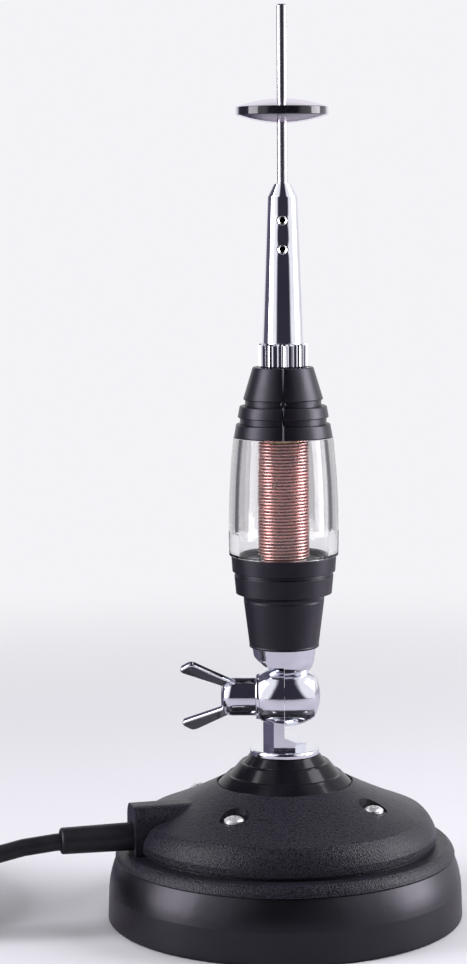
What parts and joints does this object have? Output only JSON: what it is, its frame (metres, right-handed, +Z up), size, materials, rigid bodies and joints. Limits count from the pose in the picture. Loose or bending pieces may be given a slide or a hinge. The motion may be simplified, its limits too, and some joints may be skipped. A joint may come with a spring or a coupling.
{
  "type": "radio antenna",
  "caption": "Short base-loaded radio whip on a round magnet base, with a tilt joint, a wound coil in a clear cover and a coaxial lead.",
  "frame": {"origin": "centre of the underside, on the mast's axis", "axes": "+Z up along the mast, +X along the hinge bolt's axis towards its head, the cable leaves towards -X"},
  "size_m": [0.2938, 0.1441, 0.317],
  "materials": {
    "chrome": "polished",
    "whip_steel": "polished",
    "zinc_screw": "bright zinc",
    "black_gloss": "gloss",
    "black_satin": "satin",
    "clear": "clear",
    "former_plastic": "natural",
    "copper": "bare copper",
    "brass_parts": "machined",
    "cover_paint": "fine pebbled",
    "cup_steel": "zinc plated",
    "magnet": "ground",
    "skirt_rubber": "satin",
    "film": "satin",
    "cable_jacket": "satin",
    "tie_strap": "woven",
    "plug_metal": "nickel plated"
  },
  "bodies": {
    "base": {"wing_washer": "chrome", "tilt_post": "chrome", "post_flange": "chrome", "cover_screws": "zinc_screw", "stepped_cone": "black_gloss", "insulating_bush": "former_plastic", "plug_insulator": "former_plastic", "feed_stud": "brass_parts", "stud_nut": "brass_parts", "solder_lug": "brass_parts", "base_cover": "cover_paint", "magnet_cup": "cup_steel", "ring_magnet": "magnet", "rubber_skirt": "skirt_rubber", "base_film": "film", "cable": "cable_jacket", "cable_coil": "cable_jacket", "cable_tail": "cable_jacket", "cable_sleeve": "cable_jacket", "cable_tie": "tie_strap", "plug_body": "plug_metal", "plug_pin": "plug_metal"},
    "mast": {"tilt_head": "chrome", "hinge_bolt": "chrome", "lower_insert": "brass_parts", "lower_cap": "black_satin", "lower_seal": "skirt_rubber", "loading_coil": "copper", "coil_former": "former_plastic", "clear_cover": "clear", "upper_seal": "skirt_rubber", "upper_cap": "black_satin", "upper_insert": "brass_parts", "knurled_collar": "chrome", "whip_holder": "chrome", "grub_screws": "zinc_screw"},
    "wing_nut": {"wing_nut": "chrome"},
    "whip": {"whip": "whip_steel"},
    "disc": {"tuning_disc": "black_gloss"},
    "plug_ring": {"plug_ring": "plug_metal"}
  },
  "joints": [
    {"name": "mast_tilt", "type": "hinge", "parent": "base", "child": "mast", "pos_m": [0, 0, 0.0784], "axis": [1, 0, 0], "range_deg": [-90, 90]},
    {"name": "wing_nut_turn", "type": "hinge", "parent": "base", "child": "wing_nut", "pos_m": [-0.018, 0, 0.0784], "axis": [1, 0, 0], "continuous": true},
    {"name": "whip_slide", "type": "slide", "parent": "mast", "child": "whip", "axis": [0, 0, 1], "range_m": [-0.01, 0.01]},
    {"name": "disc_slide", "type": "slide", "parent": "whip", "child": "disc", "axis": [0, 0, 1], "range_m": [-0.008, 0.024]},
    {"name": "plug_ring_turn", "type": "hinge", "parent": "base", "child": "plug_ring", "pos_m": [-0.22036, 0.06825, 0.009], "axis": [-0.2504, 0.9681, 0], "continuous": true}
  ]
}
